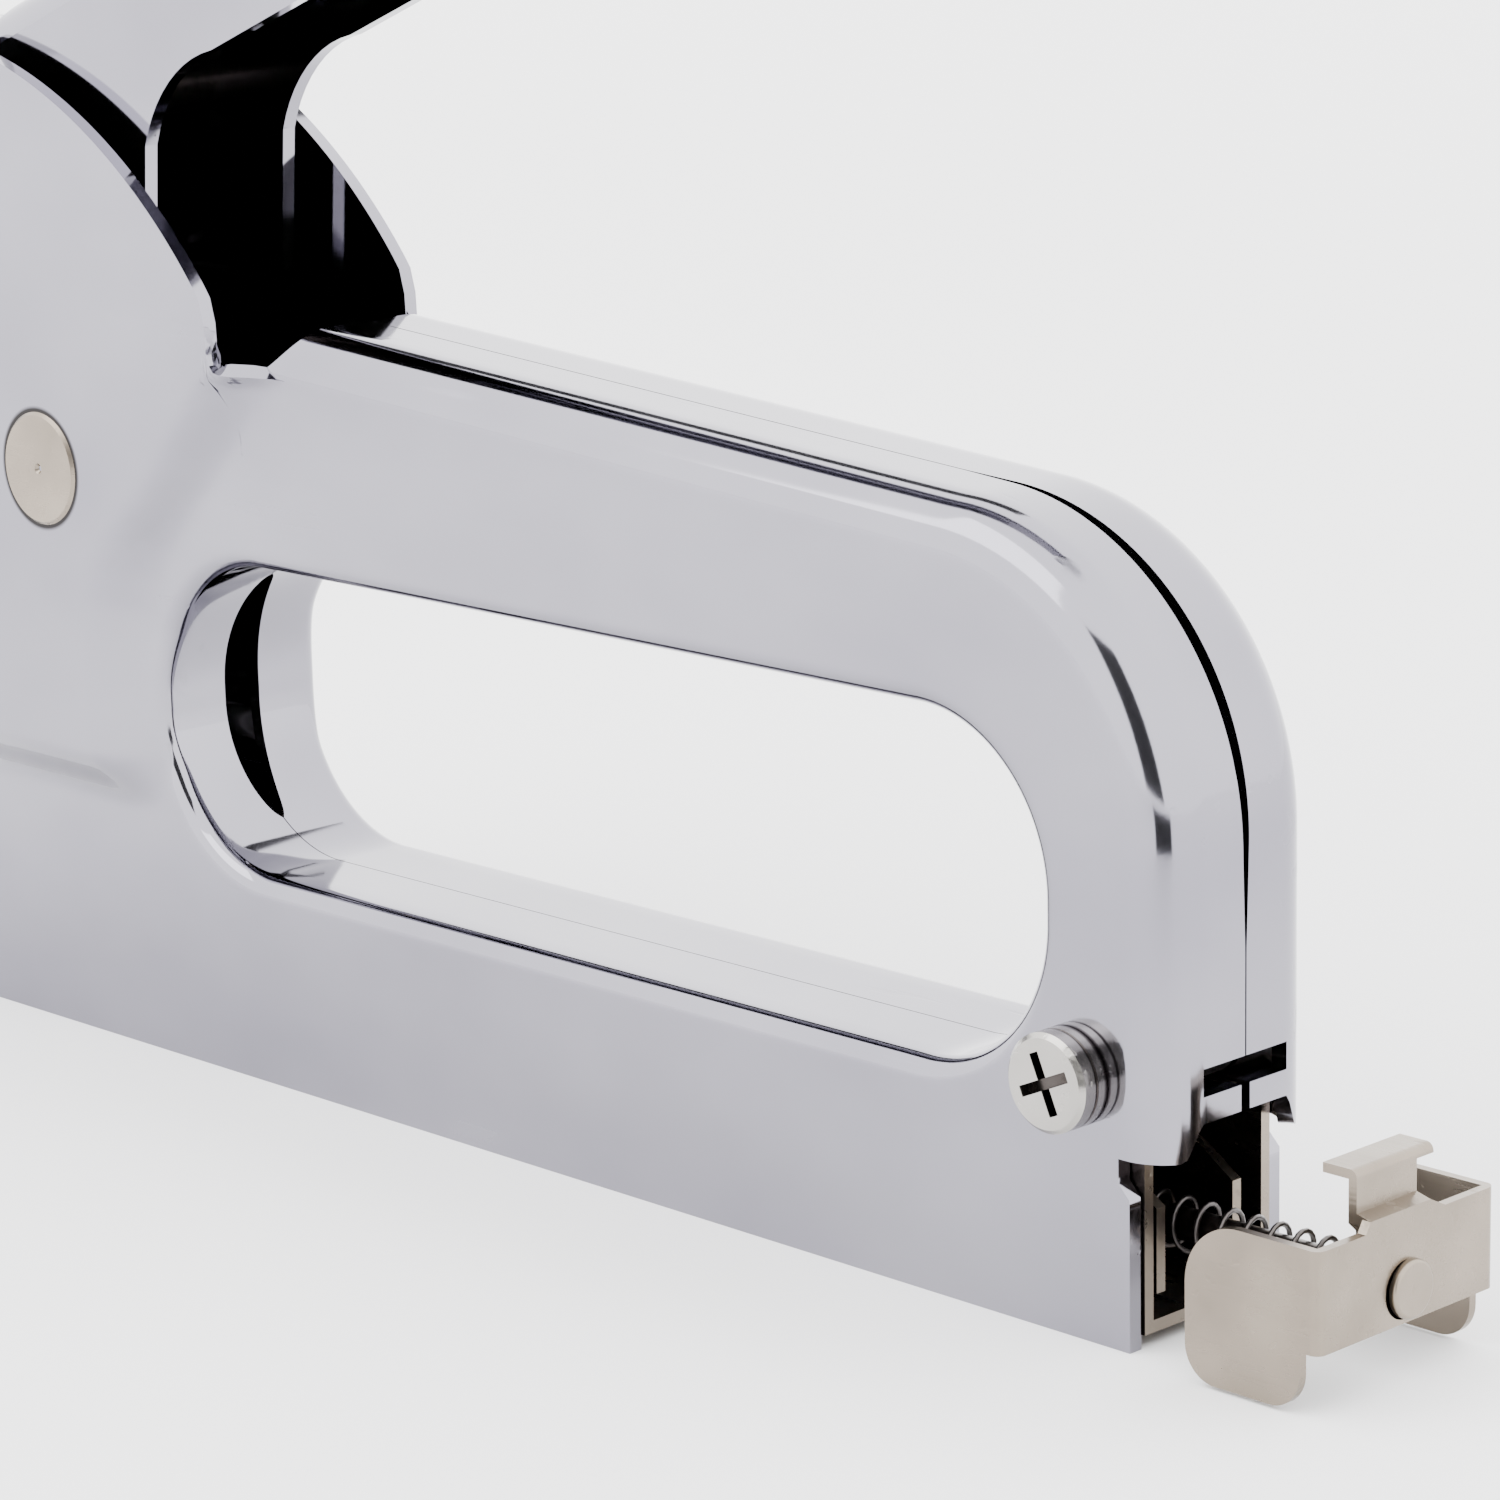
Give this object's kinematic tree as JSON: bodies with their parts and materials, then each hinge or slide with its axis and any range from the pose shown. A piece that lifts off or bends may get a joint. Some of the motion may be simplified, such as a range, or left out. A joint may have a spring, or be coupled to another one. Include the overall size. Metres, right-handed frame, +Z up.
{
  "type": "staple gun",
  "caption": "Heavy-duty chromed hand staple gun with a long squeeze lever, grip opening and rear-loading magazine with a pull-out pusher.",
  "frame": {"origin": "under the middle of the gun's bounding box, at the height of the sole", "axes": "+X to the rear, where the pusher comes out; +Z up, from the sole to the lever; Y across the gun"},
  "size_m": [0.1784, 0.024, 0.1358],
  "materials": {
    "housing_left": "polished chrome plate",
    "housing_right": "polished chrome plate",
    "pivot_pin": "satin nickel plate",
    "front_plate": "bare pressed steel",
    "front_rivet": "satin nickel plate",
    "top_rivet": "satin nickel plate",
    "rear_screw": "bright zinc plate",
    "rear_washer": "zinc plate",
    "rear_nut": "zinc plate",
    "rear_spacer": "bare steel",
    "magazine_channel": "satin nickel plate",
    "core_rail": "satin nickel plate",
    "staples": "galvanised wire",
    "spring_cap": "bare steel",
    "power_spring": "oiled spring steel",
    "lever": "polished chrome plate",
    "lift_pin": "ground steel",
    "plunger": "bare steel",
    "driver_blade": "ground steel",
    "rod_guide": "bare steel",
    "guide_pin": "ground steel",
    "pusher_rod": "drawn steel rod",
    "rod_stop": "bare steel",
    "latch_plate": "satin nickel plate",
    "pusher_spring": "oiled spring steel",
    "follower": "bare steel"
  },
  "bodies": {
    "housing": {"housing_left": "housing_left", "housing_right": "housing_right", "pivot_pin": "pivot_pin", "front_plate": "front_plate", "front_rivet": "front_rivet", "top_rivet": "top_rivet", "rear_screw": "rear_screw", "rear_washer": "rear_washer", "rear_nut": "rear_nut", "rear_spacer": "rear_spacer", "magazine_channel": "magazine_channel", "core_rail": "core_rail", "staples": "staples", "spring_cap": "spring_cap", "power_spring": "power_spring"},
    "lever": {"lever": "lever", "lift_pin": "lift_pin"},
    "plunger": {"plunger": "plunger", "driver_blade": "driver_blade"},
    "rod_guide": {"rod_guide": "rod_guide", "guide_pin": "guide_pin"},
    "pusher": {"pusher_rod": "pusher_rod", "rod_stop": "rod_stop", "latch_plate": "latch_plate", "pusher_spring": "pusher_spring"},
    "follower": {"follower": "follower"}
  },
  "joints": [
    {"name": "lever_pivot", "type": "hinge", "parent": "housing", "child": "lever", "pos_m": [-0.04573, 0, 0.0489], "axis": [0, 1, 0], "range_deg": [0, 24]},
    {"name": "plunger_lift", "type": "slide", "parent": "housing", "child": "plunger", "axis": [0, 0, 1], "range_m": [0, 0.01207], "deforming": ["power_spring"]},
    {"name": "pusher_slide", "type": "slide", "parent": "housing", "child": "rod_guide", "axis": [1, 0, 0], "range_m": [-0.0121, 0.085]},
    {"name": "rod_tilt", "type": "hinge", "parent": "rod_guide", "child": "pusher", "pos_m": [-0.03373, 0, 0.007], "axis": [0, -1, 0], "range_deg": [0, 1.6]},
    {"name": "follower_slide", "type": "slide", "parent": "rod_guide", "child": "follower", "axis": [1, 0, 0], "range_m": [0, 0.058], "deforming": ["pusher_spring"]}
  ],
  "couplings": [
    {"joint": "plunger_lift", "follows": "lever_pivot", "m_per_rad": 0.028788}
  ]
}
